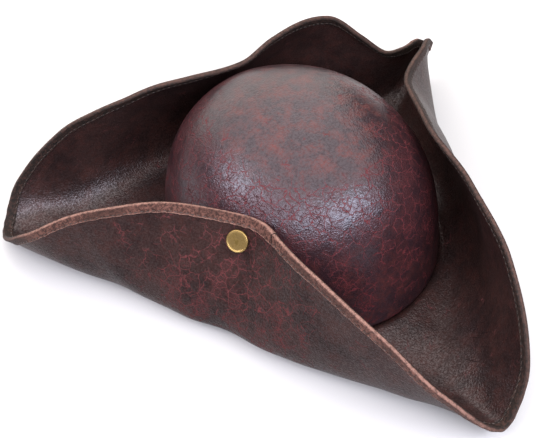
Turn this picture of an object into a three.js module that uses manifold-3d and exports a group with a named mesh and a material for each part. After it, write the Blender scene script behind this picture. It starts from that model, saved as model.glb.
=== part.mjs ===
// Tricorn hat in distressed leather, sizes in millimetres, +Z up, the front tip towards -Y.
//
// Four pieces make it: a hollow domed crown, a wide brim folded up into three flaps, a tape
// that binds the brim's edge, and one brass rivet that holds the left flap to the crown.
// The hat stands on the three folds of its brim. Its origin is on that surface, under the
// middle of its own box.

import * as THREE from 'three';
import { mergeVertices } from 'three/addons/utils/BufferGeometryUtils.js';
import Module from 'manifold-3d';

// Crown, measured outside the leather
const crownLength = 200;
const crownWidth = 176;
const crownHeight = 109;
const crownWall = 2;
const crownTopPower = 2.8;
const crownSidePower = 2.4;

// Brim, measured on the flat from the crown to the outside of the tape
const brimWidth = 112;
const brimWall = 1.5;
const seamMargin = 3;

// Tape folded over the brim's edge
const tapeWidth = 6;
const tapeThickness = 0.6;

// Rivet through the left flap and the crown
const rivetCapDiameter = 14.5;
const rivetCapHeight = 2.4;
const rivetCapRim = 1.1;
const rivetCapDish = 0.5;
const rivetPostDiameter = 4;
const rivetBackDiameter = 10;
const rivetBackHeight = 1.2;
const rivetInset = 15;
const rivetSeamAngle = 207;

// Play between pieces that touch on the real hat
const clearance = 0.3;

// Fineness of the facets
const brimStepsBetweenSections = 3;
const brimStepsAcross = 8;
const crownStations = 48;
const crownSteps = 12;
const rivetSides = 24;

// Sections of the folded brim, one row for each, in order around the crown.
// angle  place on the crown seam, in degrees from the +X side
// swing  degrees that the brim's edge lies further round than its place on the seam
// reach  how far the edge stands outside the crown's seam, as a share of the brim's width
// rise   how high the edge stands above the seam, as a share of the brim's width
// leave  slope of the brim where it leaves the seam, in degrees
// lean   slope of the brim at its edge, in degrees: 90 is upright, more leans over the crown
const brimSections = [
  { angle: -90, swing: 0, reach: 0.98, rise: 0.06, leave: -15, lean: 15 }, // front tip
  { angle: -82, swing: -2, reach: 0.93, rise: 0.24, leave: -13, lean: 38 },
  { angle: -75, swing: -6, reach: 0.84, rise: 0.41, leave: -15, lean: 58 },
  { angle: -60, swing: -13, reach: 0.53, rise: 0.69, leave: -5, lean: 88 },
  { angle: -45, swing: -17, reach: 0.17, rise: 0.84, leave: 22, lean: 110 },
  { angle: -30, swing: -8, reach: -0.10, rise: 0.86, leave: 38, lean: 125 }, // right flap
  { angle: -15, swing: 15, reach: -0.02, rise: 0.79, leave: 12, lean: 125 },
  { angle: 0, swing: 15, reach: 0.40, rise: 0.69, leave: -20, lean: 100 },
  { angle: 15, swing: 8, reach: 0.75, rise: 0.42, leave: -20, lean: 80 },
  { angle: 22, swing: 3, reach: 0.91, rise: 0.26, leave: -18, lean: 60 },
  { angle: 26, swing: 1, reach: 0.98, rise: 0.19, leave: -15, lean: 40 }, // back right tip
  { angle: 30, swing: -2, reach: 0.89, rise: 0.26, leave: -12, lean: 60 },
  { angle: 38, swing: -10, reach: 0.65, rise: 0.36, leave: -14, lean: 98 },
  { angle: 45, swing: -15, reach: 0.44, rise: 0.46, leave: -12, lean: 125 },
  { angle: 52, swing: -16, reach: 0.33, rise: 0.62, leave: -2, lean: 122 },
  { angle: 60, swing: -14, reach: 0.25, rise: 0.78, leave: 14, lean: 110 },
  { angle: 75, swing: -8, reach: -0.09, rise: 0.85, leave: 42, lean: 125 }, // back flap
  { angle: 82, swing: 1, reach: -0.21, rise: 0.82, leave: 45, lean: 135 },
  { angle: 90, swing: 12, reach: -0.16, rise: 0.81, leave: 40, lean: 135 },
  { angle: 105, swing: 18, reach: 0.21, rise: 0.73, leave: 12, lean: 115 },
  { angle: 120, swing: 12, reach: 0.61, rise: 0.54, leave: -12, lean: 90 },
  { angle: 135, swing: 3, reach: 0.91, rise: 0.22, leave: -14, lean: 60 },
  { angle: 143, swing: 0, reach: 0.99, rise: 0.03, leave: -9, lean: 15 }, // back left tip
  { angle: 150, swing: -2, reach: 0.98, rise: 0.05, leave: -9, lean: 20 },
  { angle: 165, swing: -6, reach: 0.83, rise: 0.37, leave: -25, lean: 72 },
  { angle: 180, swing: -13, reach: 0.47, rise: 0.63, leave: -26, lean: 100 },
  { angle: 195, swing: -13, reach: 0.05, rise: 0.73, leave: -12, lean: 120 },
  { angle: 210, swing: 7, reach: -0.13, rise: 0.75, leave: 0, lean: 118 }, // left flap
  { angle: 225, swing: 14, reach: 0.20, rise: 0.78, leave: -5, lean: 100 },
  { angle: 240, swing: 12, reach: 0.55, rise: 0.64, leave: -22, lean: 90 },
  { angle: 255, swing: 6, reach: 0.83, rise: 0.37, leave: -21, lean: 65 },
];

const up = new THREE.Vector3(0, 0, 1);
const radians = THREE.MathUtils.degToRad;

// A point at an angle on the crown's seam, moved outwards by an offset
function seamPoint(angle, offset, z = 0) {
  const t = radians(angle);
  return new THREE.Vector3(
    (crownWidth / 2 + offset) * Math.cos(t), (crownLength / 2 + offset) * Math.sin(t), z);
}

// The direction straight out from the crown at an angle
function outward(angle) {
  return new THREE.Vector3(Math.cos(radians(angle)), Math.sin(radians(angle)), 0);
}

// Distance from the crown's axis to its seam, seen at a compass bearing
function seamRadius(bearing) {
  const direction = outward(bearing);
  return 1 / Math.hypot(direction.x / (crownWidth / 2), direction.y / (crownLength / 2));
}

// A column of the section table at any angle, on a smooth curve through its rows
function sectionValue(column, angle) {
  const count = brimSections.length;
  const row = (i) => {
    const lap = Math.floor(i / count);
    const section = brimSections[i - lap * count];
    return { angle: section.angle + 360 * lap, value: section[column] };
  };
  let i = 0;
  while (row(i + 1).angle <= angle) i += 1;
  const [before, start, end, after] = [row(i - 1), row(i), row(i + 1), row(i + 2)];
  const span = end.angle - start.angle;
  const slopeAtStart = (end.value - before.value) / (end.angle - before.angle);
  const slopeAtEnd = (after.value - start.value) / (after.angle - start.angle);
  return hermite(
    start.value, slopeAtStart * span, end.value, slopeAtEnd * span, (angle - start.angle) / span);
}

// Cubic curve between two values with a given slope at each end
function hermite(start, startSlope, end, endSlope, t) {
  const t2 = t * t;
  const t3 = t2 * t;
  return (2 * t3 - 3 * t2 + 1) * start + (t3 - 2 * t2 + t) * startSlope
    + (3 * t2 - 2 * t3) * end + (t3 - t2) * endSlope;
}

// Middle of the brim's leather, at an angle on the seam and a distance out from the margin
function brimPoint(angle, distance) {
  const value = (column) => sectionValue(column, angle);
  const length = brimWidth - seamMargin;
  const bearing = angle + value('swing');
  const start = seamPoint(angle, seamMargin);
  const edge = outward(bearing).multiplyScalar(seamRadius(bearing) + value('reach') * brimWidth);
  edge.z = value('rise') * brimWidth;
  const slope = (direction, degrees) => direction
    .multiplyScalar(Math.cos(radians(degrees)) * length)
    .addScaledVector(up, Math.sin(radians(degrees)) * length);
  const startSlope = slope(outward(angle), value('leave'));
  const edgeSlope = slope(outward(bearing), value('lean'));
  const t = distance / length;
  return new THREE.Vector3(
    hermite(start.x, startSlope.x, edge.x, edgeSlope.x, t),
    hermite(start.y, startSlope.y, edge.y, edgeSlope.y, t),
    hermite(start.z, startSlope.z, edge.z, edgeSlope.z, t));
}

// Unit normal of the brim, on the side that faces the crown and the sky
function brimNormal(angle, distance) {
  const stepAngle = 0.5;
  const stepOut = 0.5;
  const around = brimPoint(angle + stepAngle, distance).sub(brimPoint(angle - stepAngle, distance));
  const across = brimPoint(angle, distance + stepOut).sub(brimPoint(angle, distance - stepOut));
  return across.cross(around).normalize();
}

// Direction that the brim runs in at its edge
function edgeDirection(angle, distance) {
  const step = 0.5;
  return brimPoint(angle, distance).sub(brimPoint(angle, distance - step)).normalize();
}

// A closed ring from cross-sections that each have the same number of points. Each section
// runs outwards along its upper side and comes back along its lower side. Every patch between
// two sections is split along its shorter diagonal, so that layers on each other fold alike.
function ringGeometry(sections) {
  const corners = sections.flat();
  const size = sections[0].length;
  const triangles = [];
  sections.forEach((section, i) => {
    const next = (i + 1) % sections.length;
    section.forEach((point, j) => {
      const [a, b] = [i * size + j, i * size + (j + 1) % size];
      const [c, d] = [next * size + j, next * size + (j + 1) % size];
      const short = corners[b].distanceTo(corners[c]) < corners[a].distanceTo(corners[d]);
      triangles.push(...(short ? [a, b, c, b, d, c] : [a, b, d, a, d, c]));
    });
  });
  const geometry = new THREE.BufferGeometry();
  geometry.setFromPoints(corners);
  geometry.setIndex(triangles);
  return withoutEmptyTriangles(mergeVertices(geometry));
}

// Drops the triangles that merging has closed up, as at the top of a dome
function withoutEmptyTriangles(geometry) {
  const index = geometry.getIndex().array;
  const kept = [];
  for (let i = 0; i < index.length; i += 3) {
    const [a, b, c] = [index[i], index[i + 1], index[i + 2]];
    if (a !== b && b !== c && c !== a) kept.push(a, b, c);
  }
  geometry.setIndex(kept);
  return geometry;
}

// Angles around the seam: each gap between two rows of the table is cut into equal steps
function brimAngles() {
  return brimSections.flatMap((section, i) => {
    const next = i + 1 < brimSections.length ? brimSections[i + 1].angle : brimSections[0].angle + 360;
    const step = (next - section.angle) / brimStepsBetweenSections;
    return Array.from({ length: brimStepsBetweenSections }, (_, k) => section.angle + k * step);
  });
}

// Distance from the margin to the cut edge of the brim's leather, inside the tape
const leatherEdge = brimWidth - seamMargin - clearance - tapeThickness;

function brimGeometry() {
  const tapeStart = leatherEdge - tapeWidth;
  const distances = Array.from(
    { length: brimStepsAcross }, (_, k) => (k / (brimStepsAcross - 1)) * tapeStart);
  distances.push(leatherEdge);
  const innerFace = (angle, side) => seamPoint(angle, -crownWall, side * brimWall / 2);
  return ringGeometry(brimAngles().map((angle) => {
    const face = (side) => distances.map((distance) => {
      const normal = distance === 0 ? up : brimNormal(angle, distance);
      return brimPoint(angle, distance).addScaledVector(normal, side * brimWall / 2);
    });
    return [innerFace(angle, 1), ...face(1), ...face(-1).reverse(), innerFace(angle, -1)];
  }));
}

function tapeGeometry() {
  const inner = brimWall / 2 + clearance;
  const outer = inner + tapeThickness;
  const tapeStart = leatherEdge - tapeWidth;
  return ringGeometry(brimAngles().map((angle) => {
    const beside = (distance, offset) => brimPoint(angle, distance)
      .addScaledVector(brimNormal(angle, distance), offset);
    const beyond = (distance, offset) => beside(leatherEdge, offset)
      .addScaledVector(edgeDirection(angle, leatherEdge), distance);
    const nose = clearance + tapeThickness;
    return [
      beside(tapeStart, outer), beyond(clearance, outer), beyond(nose, inner / 2),
      beyond(nose, -inner / 2), beyond(clearance, -outer), beside(tapeStart, -outer),
      beside(tapeStart, -inner), beyond(clearance, -inner),
      beyond(clearance, inner), beside(tapeStart, inner),
    ];
  }));
}

// A point of the crown at a depth inside its outer face. The share runs from the crown's foot,
// which stands clear on the brim, to its top.
function crownPoint(angle, share, depth) {
  const foot = brimWall / 2 + clearance;
  const t = share * Math.PI / 2;
  const spread = share === 1 ? 0 : Math.cos(t) ** (2 / crownSidePower);
  const lift = Math.sin(t) ** (2 / crownTopPower);
  return new THREE.Vector3(
    spread * (crownWidth / 2 - depth) * Math.cos(radians(angle)),
    spread * (crownLength / 2 - depth) * Math.sin(radians(angle)),
    foot + lift * (crownHeight - foot - depth));
}

function crownGeometry() {
  const shares = Array.from({ length: crownSteps + 1 }, (_, k) => k / crownSteps);
  const stations = Array.from({ length: crownStations }, (_, k) => (k / crownStations) * 360);
  return ringGeometry(stations.map((angle) => {
    const face = (depth) => shares.map((share) => crownPoint(angle, share, depth));
    return [...face(crownWall), ...face(0).reverse()];
  }));
}

// The rivet in its own frame: +Y points out of the hat, and the cap's back lies at zero
function rivetGeometry(postLength) {
  const capRadius = rivetCapDiameter / 2;
  const postRadius = rivetPostDiameter / 2;
  const backRadius = rivetBackDiameter / 2;
  const profile = [
    [0, rivetCapHeight - rivetCapDish],
    [capRadius - 1.5 * rivetCapRim, rivetCapHeight - rivetCapDish],
    [capRadius - rivetCapRim, rivetCapHeight],
    [capRadius - 0.4 * rivetCapRim, rivetCapHeight - 0.3 * rivetCapDish],
    [capRadius, rivetCapHeight - rivetCapRim],
    [capRadius - 0.4 * rivetCapRim, 0],
    [postRadius, 0],
    [postRadius, -postLength],
    [backRadius, -postLength],
    [backRadius, -postLength - rivetBackHeight],
    [0, -postLength - rivetBackHeight],
  ];
  const points = profile.map(([radius, height]) => new THREE.Vector2(radius, height));
  return merged(new THREE.LatheGeometry(points.reverse(), rivetSides));
}

// A geometry with its shared corners joined and nothing but its positions kept
function merged(geometry) {
  geometry.deleteAttribute('normal');
  geometry.deleteAttribute('uv');
  return withoutEmptyTriangles(mergeVertices(geometry));
}

const wasm = await Module();
wasm.setup();

function toSolid(geometry) {
  return new wasm.Manifold(new wasm.Mesh({
    numProp: 3,
    vertProperties: geometry.getAttribute('position').array,
    triVerts: new Uint32Array(geometry.getIndex().array),
  }));
}

function fromSolid(solid) {
  const mesh = solid.getMesh();
  const geometry = new THREE.BufferGeometry();
  geometry.setAttribute('position', new THREE.BufferAttribute(mesh.vertProperties, 3));
  geometry.setIndex(new THREE.BufferAttribute(mesh.triVerts, 1));
  return geometry;
}

// Places along a line through a point where parallel rays first meet a piece. The rays start
// a distance behind the point and stand in rings about the line, out to the given radius.
function firstHits(geometry, point, direction, behind, radius) {
  const side = new THREE.Vector3().crossVectors(direction, up).normalize();
  const other = new THREE.Vector3().crossVectors(direction, side);
  const target = new THREE.Mesh(geometry, new THREE.MeshBasicMaterial({ side: THREE.DoubleSide }));
  const hits = [];
  for (let i = 0; i < rivetSides; i += 1) {
    const turn = (i / rivetSides) * 2 * Math.PI;
    for (const ring of [0, radius / 2, radius]) {
      const origin = point.clone()
        .addScaledVector(direction, -behind)
        .addScaledVector(side, ring * Math.cos(turn))
        .addScaledVector(other, ring * Math.sin(turn));
      const [hit] = new THREE.Raycaster(origin, direction).intersectObject(target);
      if (hit) hits.push(hit.distance - behind);
    }
  }
  return hits;
}

// The rivet goes square through the flap. Its cap lies on the flap and its back on the
// inside of the crown, each as near as the curve of the leather lets it.
function placeRivet(brim, crown) {
  const distance = leatherEdge + clearance + tapeThickness - rivetInset;
  const centre = brimPoint(rivetSeamAngle, distance);
  const outwards = brimNormal(rivetSeamAngle, distance).negate();
  const inwards = outwards.clone().negate();
  const flapHits = firstHits(brim, centre, inwards, rivetInset, rivetCapDiameter / 2);
  const crownHits = firstHits(crown, centre, outwards, crownWidth / 2, rivetBackDiameter / 2);
  const capSeat = Math.max(...flapHits.map((hit) => -hit)) + clearance;
  const backSeat = Math.min(...crownHits) - clearance;
  const turn = new THREE.Quaternion().setFromUnitVectors(new THREE.Vector3(0, 1, 0), outwards);
  return {
    turn,
    length: capSeat - backSeat,
    cap: centre.clone().addScaledVector(outwards, capSeat),
    middle: centre.clone().addScaledVector(outwards, (capSeat + backSeat) / 2),
  };
}

// A clear hole along the rivet's post
function drilled(geometry, rivet) {
  const radius = rivetPostDiameter / 2 + clearance;
  const drill = merged(new THREE.CylinderGeometry(radius, radius, rivet.length, rivetSides));
  drill.applyQuaternion(rivet.turn);
  drill.translate(rivet.middle.x, rivet.middle.y, rivet.middle.z);
  return fromSolid(toSolid(geometry).subtract(toSolid(drill)));
}

function leather(name, geometry, color, roughness) {
  const material = new THREE.MeshStandardMaterial({ color, roughness, metalness: 0 });
  const mesh = new THREE.Mesh(geometry, material);
  mesh.name = name;
  return mesh;
}

function rivetMesh(rivet) {
  const brass = new THREE.MeshStandardMaterial({ color: 0x9a8a4a, roughness: 0.35, metalness: 1 });
  const mesh = new THREE.Mesh(rivetGeometry(rivet.length), brass);
  mesh.name = 'rivet_stud';
  mesh.quaternion.copy(rivet.turn);
  mesh.position.copy(rivet.cap);
  return mesh;
}

const wholeCrown = crownGeometry();
const wholeBrim = brimGeometry();
const rivet = placeRivet(wholeBrim, wholeCrown);

const hat = new THREE.Group();
hat.add(
  leather('crown', drilled(wholeCrown, rivet), 0x5a4349, 0.45),
  leather('brim', drilled(wholeBrim, rivet), 0x3b2629, 0.5),
  leather('edge_binding', tapeGeometry(), 0x6a4636, 0.7),
  rivetMesh(rivet));

// Stand the hat on the surface, in the middle of its own box
const box = new THREE.Box3().setFromObject(hat, true);
const middle = box.getCenter(new THREE.Vector3());
hat.position.set(-middle.x, -middle.y, -box.min.z);

export default hat;
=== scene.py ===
# Tricorn hat in distressed leather: the look of it, built on its CAD frame.
#
# The brim is worked out here from the same table of sections as the CAD model. Lengths are in
# metres and angles in degrees. The hat stands on z = 0 and its front tip points towards -Y.

import math

import bmesh
import bpy
import numpy as np
from bpy.props import FloatProperty, FloatVectorProperty, IntProperty, PointerProperty
from mathutils import Matrix, Vector


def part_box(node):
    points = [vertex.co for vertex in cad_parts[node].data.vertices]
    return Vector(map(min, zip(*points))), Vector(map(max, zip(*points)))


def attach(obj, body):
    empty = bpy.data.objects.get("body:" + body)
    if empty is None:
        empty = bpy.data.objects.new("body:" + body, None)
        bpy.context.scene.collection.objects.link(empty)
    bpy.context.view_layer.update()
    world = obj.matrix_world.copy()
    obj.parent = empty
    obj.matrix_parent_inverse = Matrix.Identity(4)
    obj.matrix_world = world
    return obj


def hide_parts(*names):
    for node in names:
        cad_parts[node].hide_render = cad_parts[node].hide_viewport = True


bl_info = {
    "name": "Tricorn Hat",
    "version": (1, 0, 0),
    "blender": (4, 5, 0),
    "location": "View3D > Sidebar > Tricorn",
    "description": "Builds a distressed leather tricorn hat and its photo studio",
    "category": "Add Mesh",
}

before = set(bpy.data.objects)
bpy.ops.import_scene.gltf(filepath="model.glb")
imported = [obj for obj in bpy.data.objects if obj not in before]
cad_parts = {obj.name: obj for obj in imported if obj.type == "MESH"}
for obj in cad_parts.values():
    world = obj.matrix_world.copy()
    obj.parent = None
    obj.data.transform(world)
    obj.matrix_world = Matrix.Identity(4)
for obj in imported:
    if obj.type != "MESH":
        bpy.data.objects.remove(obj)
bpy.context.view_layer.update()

MM = 0.001

# Sections of the folded brim, one row for each, in order around the crown
# angle  place on the crown seam, from the +X side
# swing  how much further round the brim's edge lies than its place on the seam
# reach  how far the edge stands outside the crown's seam, as a share of the brim's width
# rise   how high the edge stands above the seam, as a share of the brim's width
# leave  slope of the brim where it leaves the seam
# lean   slope of the brim at its edge: 90 is upright, more leans over the crown
SECTION_COLUMNS = ("angle", "swing", "reach", "rise", "leave", "lean")
BRIM_SECTIONS = (
    (-90, 0, 0.98, 0.06, -15, 15),  # front tip
    (-82, -2, 0.93, 0.24, -13, 38),
    (-75, -6, 0.84, 0.41, -15, 58),
    (-60, -13, 0.53, 0.69, -5, 88),
    (-45, -17, 0.17, 0.84, 22, 110),
    (-30, -8, -0.10, 0.86, 38, 125),  # right flap
    (-15, 15, -0.02, 0.79, 12, 125),
    (0, 15, 0.40, 0.69, -20, 100),
    (15, 8, 0.75, 0.42, -20, 80),
    (22, 3, 0.91, 0.26, -18, 60),
    (26, 1, 0.98, 0.19, -15, 40),  # back right tip
    (30, -2, 0.89, 0.26, -12, 60),
    (38, -10, 0.65, 0.36, -14, 98),
    (45, -15, 0.44, 0.46, -12, 125),
    (52, -16, 0.33, 0.62, -2, 122),
    (60, -14, 0.25, 0.78, 14, 110),
    (75, -8, -0.09, 0.85, 42, 125),  # back flap
    (82, 1, -0.21, 0.82, 45, 135),
    (90, 12, -0.16, 0.81, 40, 135),
    (105, 18, 0.21, 0.73, 12, 115),
    (120, 12, 0.61, 0.54, -12, 90),
    (135, 3, 0.91, 0.22, -14, 60),
    (143, 0, 0.99, 0.03, -9, 15),  # back left tip
    (150, -2, 0.98, 0.05, -9, 20),
    (165, -6, 0.83, 0.37, -25, 72),
    (180, -13, 0.47, 0.63, -26, 100),
    (195, -13, 0.05, 0.73, -12, 120),
    (210, 7, -0.13, 0.75, 0, 118),  # left flap
    (225, 14, 0.20, 0.78, -5, 100),
    (240, 12, 0.55, 0.64, -22, 90),
    (255, 6, 0.83, 0.37, -21, 65),
)

# Sizes that the CAD model has and the frame's boxes don't give
BRIM_WIDTH = 112 * MM
BRIM_WALL = 1.5 * MM
SEAM_MARGIN = 3 * MM
CROWN_WALL = 2 * MM
CROWN_TOP_POWER = 2.8
CROWN_SIDE_POWER = 2.4
TAPE_WIDTH = 6 * MM
TAPE_THICKNESS = 0.6 * MM
CLEARANCE = 0.3 * MM
# The rivet's seam angle, and its distance from the seam
RIVET_PLACE = (207, BRIM_WIDTH - SEAM_MARGIN - 15 * MM)
CROWN_FOOT = BRIM_WALL / 2 + CLEARANCE
# The crown's foot stands this far above the brim, and its dents grow over this height
FOOT_GAP = 0.05 * MM
DENTS_GROW = 18 * MM
# Middle of the left flap, from the seam's centre, and the seam angle of the back right tip
LEFT_FLAP_MIDDLE = (-118 * MM, -68 * MM, 38 * MM)
BACK_RIGHT_TIP = 26
# The same for the left flap's dent, and how wide it is from its middle
FLAP_DENT_PLACE = (206, 26 * MM)
FLAP_DENT_RADIUS = 20 * MM
# How far the sheet's waves take to grow from nothing at the rivet and the seam
STILL_AT_RIVET = 16 * MM
STILL_AT_SEAM = 14 * MM
# Middle of the hair creases behind the front tip, from the seam's centre
CREASE_CENTRE = (30 * MM, -150 * MM, 0)

# The crown's own box gives its length and width, and where the hat's axis and seam lie
crown_low, crown_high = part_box("crown")
CROWN_SIZE = crown_high - crown_low
SEAM_CENTRE = np.array([
    (crown_low.x + crown_high.x) / 2, (crown_low.y + crown_high.y) / 2,
    crown_low.z - CROWN_FOOT,
])
CROWN_HEIGHT = CROWN_SIZE.z + CROWN_FOOT
LEATHER_EDGE = BRIM_WIDTH - SEAM_MARGIN - CLEARANCE - TAPE_THICKNESS
TAPE_START = LEATHER_EDGE - TAPE_WIDTH
# The tape's inner face, from the middle of the leather, and the tape's body outside it
TAPE_INNER = BRIM_WALL / 2 + 0.12 * MM
TAPE_BODY = BRIM_WALL / 2 + CLEARANCE + TAPE_THICKNESS - TAPE_INNER


def linear(hex_colour):
    """An sRGB hex colour as linear red, green and blue."""
    channels = [int(hex_colour[i:i + 2], 16) / 255 for i in (1, 3, 5)]
    return [c / 12.92 if c <= 0.04045 else ((c + 0.055) / 1.055) ** 2.4 for c in channels]


def colour(name, description, hex_colour):
    """A colour that the user can change, with an sRGB hex default."""
    return FloatVectorProperty(
        name=name, description=description, subtype="COLOR", size=3, min=0, max=1,
        default=linear(hex_colour))


def length(name, description, millimetres):
    """A length that the user can change, with its default in millimetres."""
    return FloatProperty(
        name=name, description=description, unit="LENGTH", default=millimetres * MM)


def number(name, description, default):
    """A plain number that the user can change."""
    return FloatProperty(name=name, description=description, default=default)


class CrownSettings(bpy.types.PropertyGroup):
    dent: length("Dents", "Depth of the soft dents in the crown", 1.3)
    foot_roll: length("Foot roll", "Radius that the crown turns in with at its seam", 2.4)
    grain: length("Grain", "Depth of the pebble grain", 0.19)
    roughness: number("Roughness", "Roughness of the smooth coat", 0.29)
    clouding: number("Clouding", "How much of the coat is rubbed off in the clouds", 0.6)
    blotching: number("Blotching", "How strong the dark blotches are", 0.35)
    # Dark cracks sets how strong the painted shade in the finest cracks is
    dark_cracks: number("Dark cracks", "How dark the finest cracks are", 0.95)
    sheen: colour("Sheen", "Tint of the coat's reflections", "#e9eefc")
    coat: colour("Coat", "The leather's smooth coat", "#2b1b1f")
    cracks: colour("Cracks", "The open leather in the cracks", "#56272a")
    clouds: colour("Clouds", "The leather where the coat is rubbed thin", "#6e352e")
    # This darkest colour also paints the shade in the finest cracks
    depths_and_crack_shade: colour("Depths", "The darkest blotches of the coat", "#1e1113")


class BrimSettings(bpy.types.PropertyGroup):
    ripple: length("Ripple", "Height of the soft waves in the sheet", 0.7)
    flap_dent: length("Flap dent", "Depth of the soft dent low on the left flap", 4.5)
    grain: length("Grain", "Depth of the pebble grain", 0.25)
    roughness: number("Roughness", "Roughness of the smooth coat", 0.38)
    clouding: number("Clouding", "How much of the coat is rubbed off in the clouds", 0.3)
    blotching: number("Blotching", "How strong the dark blotches are", 0.75)
    # Dark cracks sets how strong the painted shade in the finest cracks is
    dark_cracks: number("Dark cracks", "How dark the finest cracks are", 0.15)
    sheen: colour("Sheen", "Tint of the coat's reflections", "#f6eef3")
    coat: colour("Coat", "The leather's smooth coat", "#2e1f1d")
    cracks: colour("Cracks", "The open leather in the cracks", "#573031")
    clouds: colour("Clouds", "The leather where the coat is rubbed thin", "#5a3029")
    # This darkest colour also paints the shade in the finest cracks
    depths_and_crack_shade: colour("Depths", "The darkest blotches of the coat", "#1a1111")


class TapeSettings(bpy.types.PropertyGroup):
    lap_angle: number("Lap", "Where round the seam the tape's two ends lap, in degrees", 213)
    lap_length: length("Lap length", "How far one end lies over the other", 9)
    stitch_pitch: length("Stitch pitch", "From one stitch to the next", 3.8)
    stitch_length: length("Stitch length", "Length of thread that shows", 2.7)
    middle: colour("Middle", "The tape's dark brown", "#301c17")
    rubbed: colour("Rubbed", "Where the outer side is rubbed to orange-brown", "#66443b")
    worn: colour("Worn", "Thin worn lines on the fold and the borders", "#8b6a5f")
    # Painted shade: the colour of the tape's side towards the crown, and of its outer side where
    # wear fades
    painted_shade: colour("Shaded", "The side towards the crown", "#17110e")
    thread: colour("Thread", "The sewing thread", "#33241e")


class RivetSettings(bpy.types.PropertyGroup):
    cap_diameter: length("Cap diameter", "Across the rivet's cap", 14.5)
    sides: IntProperty(name="Sides", description="Steps round the rivet", default=72)
    brass: colour("Brass", "Antique brass", "#9a8152")
    patina: colour("Patina", "Brown tarnish in the brass's hollows", "#55461f")


class StageSettings(bpy.types.PropertyGroup):
    floor: colour("Floor", "The studio's pale floor", "#c0c0c0")
    daylight: number("Surroundings", "Strength of the white surroundings", 0.08)
    softbox_radiance: number("Softboxes", "Brightness of the softboxes, in W/(m2 sr)", 2.2)


class TricornSettings(bpy.types.PropertyGroup):
    crown: PointerProperty(type=CrownSettings)
    brim: PointerProperty(type=BrimSettings)
    tape: PointerProperty(type=TapeSettings)
    rivet: PointerProperty(type=RivetSettings)
    stage: PointerProperty(type=StageSettings)


# Shape of the brim, for arrays of angles and distances


def section_value(column, angle):
    """A column of the section table at any angle, on a smooth curve through its rows."""
    rows = np.array(BRIM_SECTIONS, dtype=float)
    angles = rows[:, 0]
    values = rows[:, SECTION_COLUMNS.index(column)]
    angles = np.concatenate([angles[-1:] - 360, angles, angles[:2] + 360])
    values = np.concatenate([values[-1:], values, values[:2]])
    wrapped = (angle - rows[0, 0]) % 360 + rows[0, 0]
    i = np.searchsorted(angles, wrapped, side="right") - 1
    span = angles[i + 1] - angles[i]
    start_slope = (values[i + 1] - values[i - 1]) / (angles[i + 1] - angles[i - 1])
    end_slope = (values[i + 2] - values[i]) / (angles[i + 2] - angles[i])
    t = (wrapped - angles[i]) / span
    return hermite(values[i], start_slope * span, values[i + 1], end_slope * span, t)


def hermite(start, start_slope, end, end_slope, t):
    """Cubic curve between two values with a given slope at each end."""
    t2 = t * t
    t3 = t2 * t
    return ((2 * t3 - 3 * t2 + 1) * start + (t3 - 2 * t2 + t) * start_slope
            + (3 * t2 - 2 * t3) * end + (t3 - t2) * end_slope)


def outward(bearing):
    """The direction straight out from the crown at an angle."""
    turn = np.radians(bearing)
    return np.stack([np.cos(turn), np.sin(turn), np.zeros_like(turn)], axis=-1)


def seam_point(angle, offset):
    """A point at an angle on the crown's seam, moved outwards by an offset."""
    half = np.array([CROWN_SIZE.x / 2, CROWN_SIZE.y / 2, 0.0])
    return outward(angle) * (half + np.asarray(offset)[..., None])


def seam_radius(bearing):
    """Distance from the crown's axis to its seam, at a compass bearing."""
    direction = outward(bearing)
    across = direction[..., 0] / (CROWN_SIZE.x / 2)
    along = direction[..., 1] / (CROWN_SIZE.y / 2)
    return 1 / np.hypot(across, along)


def formed_brim(angle, distance):
    """Middle of the leather as the CAD model has it, with the seam's centre at the origin."""
    angle, distance = np.broadcast_arrays(np.asarray(angle, float), np.asarray(distance, float))
    value = {column: section_value(column, angle) for column in SECTION_COLUMNS[1:]}
    width = BRIM_WIDTH - SEAM_MARGIN
    bearing = angle + value["swing"]
    start = seam_point(angle, np.full_like(angle, SEAM_MARGIN))
    out = seam_radius(bearing) + value["reach"] * BRIM_WIDTH
    edge = outward(bearing) * out[..., None]
    edge[..., 2] = value["rise"] * BRIM_WIDTH

    def slope(direction, degrees):
        turn = np.radians(degrees)[..., None]
        return (direction * np.cos(turn) + np.array([0, 0, 1]) * np.sin(turn)) * width

    leave = slope(outward(angle), value["leave"])
    lean = slope(outward(bearing), value["lean"])
    return hermite(start, leave, edge, lean, (distance / width)[..., None])


def formed_normal(angle, distance):
    """Unit normal of the formed brim, on the side that faces the crown and the sky."""
    # The slopes are taken over half a degree and half a millimetre
    turn = 0.25
    step = 0.25 * MM
    around = formed_brim(angle + turn, distance) - formed_brim(angle - turn, distance)
    across = formed_brim(angle, distance + step) - formed_brim(angle, distance - step)
    normal = np.cross(across, around)
    return normal / np.linalg.norm(normal, axis=-1, keepdims=True)


def ripple_height(angle, distance, settings):
    """Soft waves of the sheet, which fade out at the seam and round the rivet, and one dent."""
    point = formed_brim(angle, distance)
    x, y, z = np.moveaxis(point / MM, -1, 0)
    waves = (0.50 * np.sin(x / 17.3 + 0.8 * np.sin(y / 23.9) + 1.1)
             + 0.35 * np.sin(y / 14.1 + z / 19.7 + 2.3)
             + 0.25 * np.sin((x - y) / 8.3 + z / 9.1 + 0.4))

    def near(place, radius):
        """1 at a place on the brim, which fades to 0 outside a radius."""
        away = np.linalg.norm(point - formed_brim(*place), axis=-1)
        return np.exp(-((away / radius) ** 2))

    soft = (settings.ripple * waves * (1 - near(RIVET_PLACE, STILL_AT_RIVET))
            + settings.flap_dent * near(FLAP_DENT_PLACE, FLAP_DENT_RADIUS))
    return soft * (1 - np.exp(-((np.asarray(distance) / STILL_AT_SEAM) ** 2)))


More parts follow.
